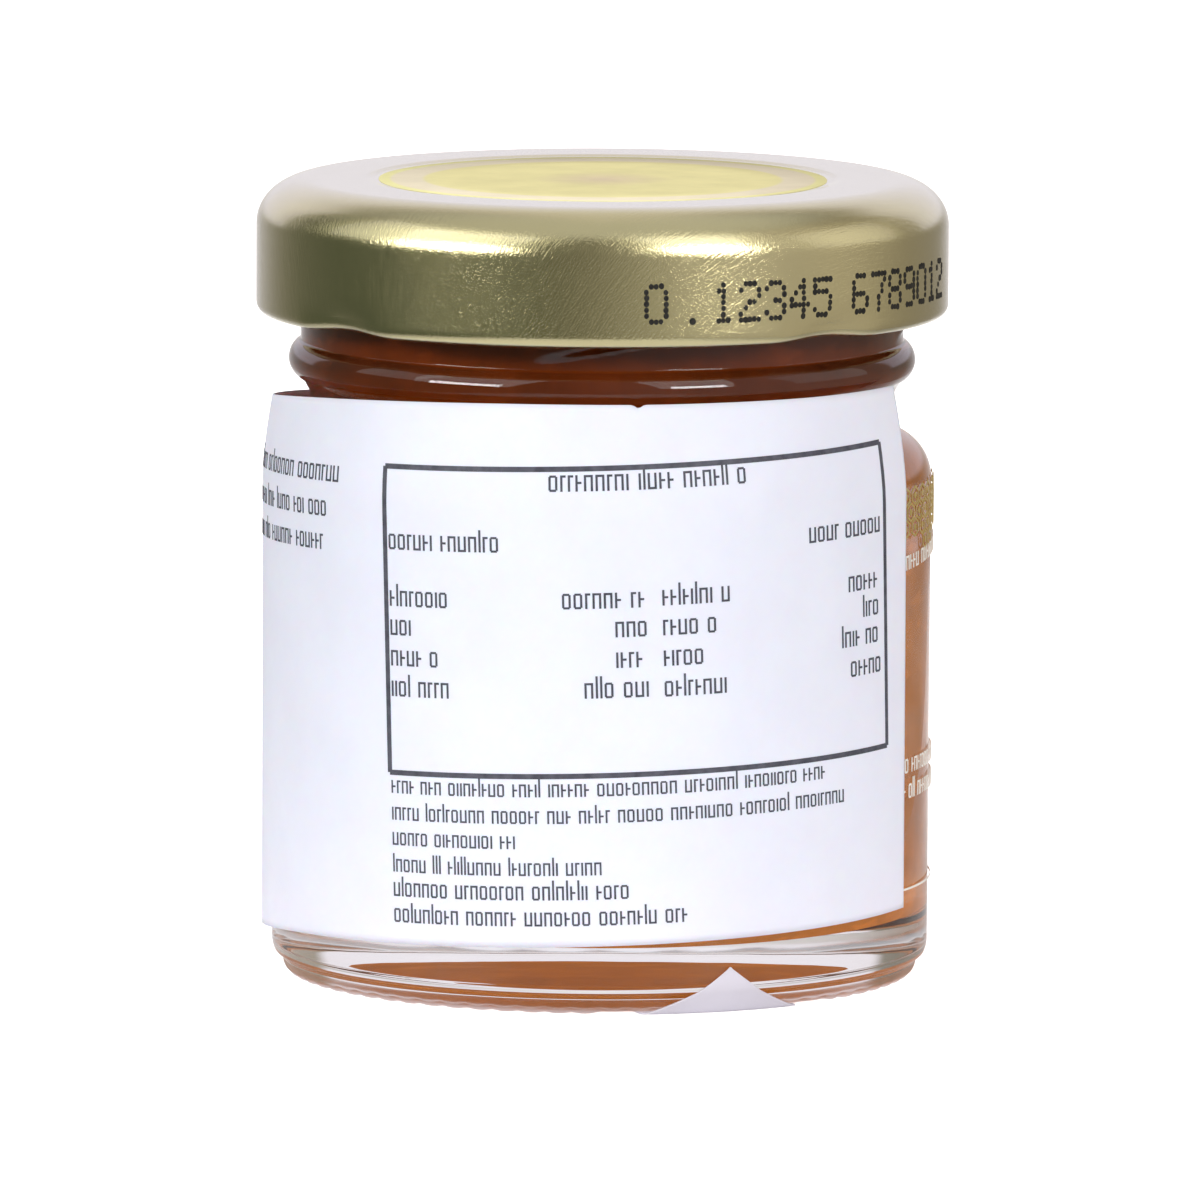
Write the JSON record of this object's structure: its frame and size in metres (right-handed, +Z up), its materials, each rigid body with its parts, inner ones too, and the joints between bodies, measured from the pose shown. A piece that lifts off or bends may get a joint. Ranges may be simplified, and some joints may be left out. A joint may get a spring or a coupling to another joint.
{
  "type": "marmalade jar",
  "caption": "Small round glass jar full of marmalade, shut by a gold twist-off lid, with a clear printed film, a white paper label round it and a strip of sticker folded up over the heel.",
  "frame": {"origin": "middle of the ring that the jar stands on, at the surface it rests on", "axes": "+Z up along the jar's axis; the front, where the white label shows, faces -Y; +X is to the right seen from the front"},
  "size_m": [0.0456, 0.0456, 0.0526],
  "materials": {
    "glass": "clear pressed glass, smooth and glossy",
    "marmalade": "dense orange-brown preserve, wet where it meets the glass",
    "lid": "tinplate with satin gold lacquer and a pale yellow printed disc",
    "film": "clear glossy film printed with a gold lattice and white",
    "paper": "coated white paper with a thin dark grey print",
    "sticker": "coated white paper"
  },
  "bodies": {
    "root": {"glass_jar": "glass", "marmalade": "marmalade", "lid": "lid", "film_label": "film", "paper_label": "paper", "base_sticker": "sticker"}
  },
  "joints": []
}
